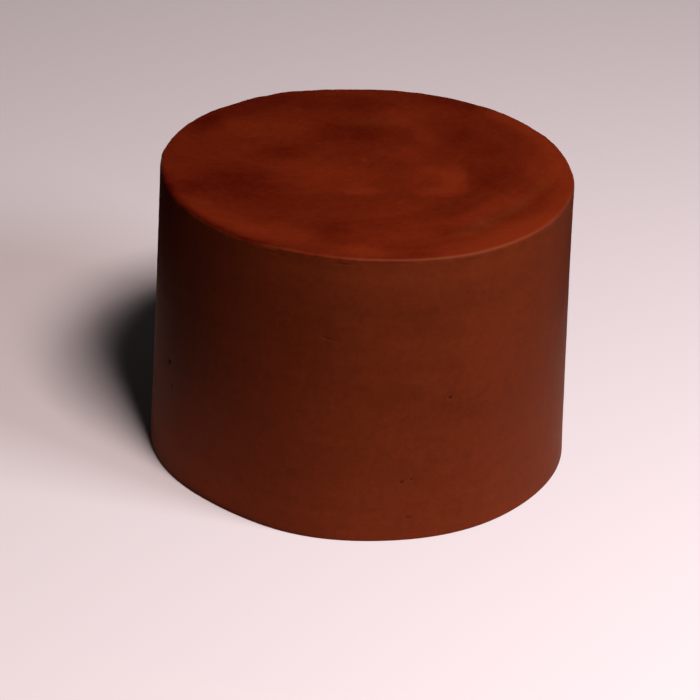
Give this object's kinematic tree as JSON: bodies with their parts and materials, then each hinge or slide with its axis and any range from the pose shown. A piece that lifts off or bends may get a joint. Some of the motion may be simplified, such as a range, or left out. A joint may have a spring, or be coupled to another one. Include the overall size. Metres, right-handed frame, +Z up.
{
  "type": "chocolate chiffon cake",
  "caption": "Tall round uncut chocolate chiffon cake under a smooth matte coat of chocolate cream, narrowing slightly to a crisp top edge.",
  "frame": {"origin": "middle of the flat underside, on the surface that the cake stands on", "axes": "+Z up through the middle of the cake, -Y towards the shown side, +X to the right of that side"},
  "size_m": [0.154, 0.1544, 0.1087],
  "materials": {
    "coat": "satin-matte chocolate cream, smoothed by hand, with fine grain, faint scraper bands and soft spatula marks"
  },
  "bodies": {
    "root": {"cake": "coat"}
  },
  "joints": []
}
